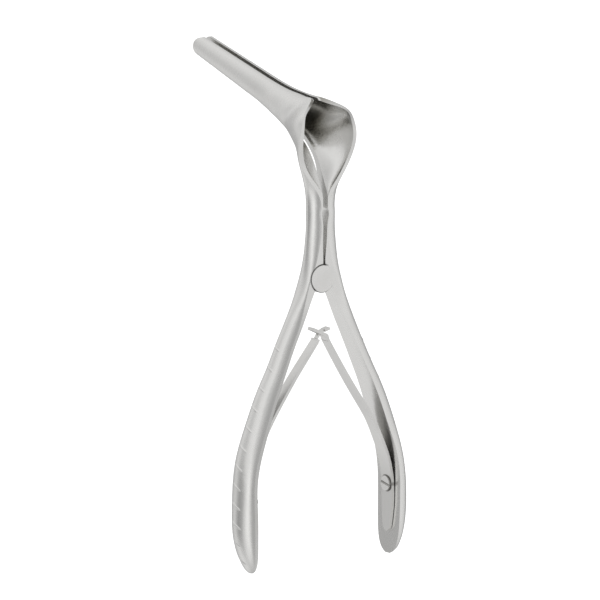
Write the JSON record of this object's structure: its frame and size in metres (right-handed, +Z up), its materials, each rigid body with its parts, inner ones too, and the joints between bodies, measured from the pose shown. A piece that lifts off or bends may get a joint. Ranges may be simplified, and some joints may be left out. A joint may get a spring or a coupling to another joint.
{
  "type": "nasal speculum",
  "caption": "Hand-held nasal speculum: half-funnel blades that spread when the ridged grips are squeezed, with a crossed leaf-spring return.",
  "frame": {"origin": "on the hinge axis, midway through the box joint", "axes": "+Z up from the grips to the blades, +Y forward along the blades, +X toward the right half; the hinge axis is Y"},
  "size_m": [0.0577, 0.0633, 0.1426],
  "materials": {
    "left_half": "satin",
    "right_half": "satin",
    "pivot_pin": "satin",
    "left_leaf_spring": "satin",
    "right_leaf_spring": "satin",
    "left_spring_screw": "satin",
    "right_spring_screw": "satin"
  },
  "bodies": {
    "left_lever": {"left_half": "left_half", "pivot_pin": "pivot_pin", "left_leaf_spring": "left_leaf_spring", "left_spring_screw": "left_spring_screw"},
    "right_lever": {"right_half": "right_half", "right_leaf_spring": "right_leaf_spring", "right_spring_screw": "right_spring_screw"}
  },
  "joints": [
    {"name": "blade_opening", "type": "hinge", "parent": "left_lever", "child": "right_lever", "pos_m": [0, 0, 0], "axis": [0, 1, 0], "range_deg": [0, 24], "stiffness_Nm_per_rad": 0.8, "springref_deg": -17.19, "deforming": ["left_leaf_spring", "right_leaf_spring"]}
  ]
}
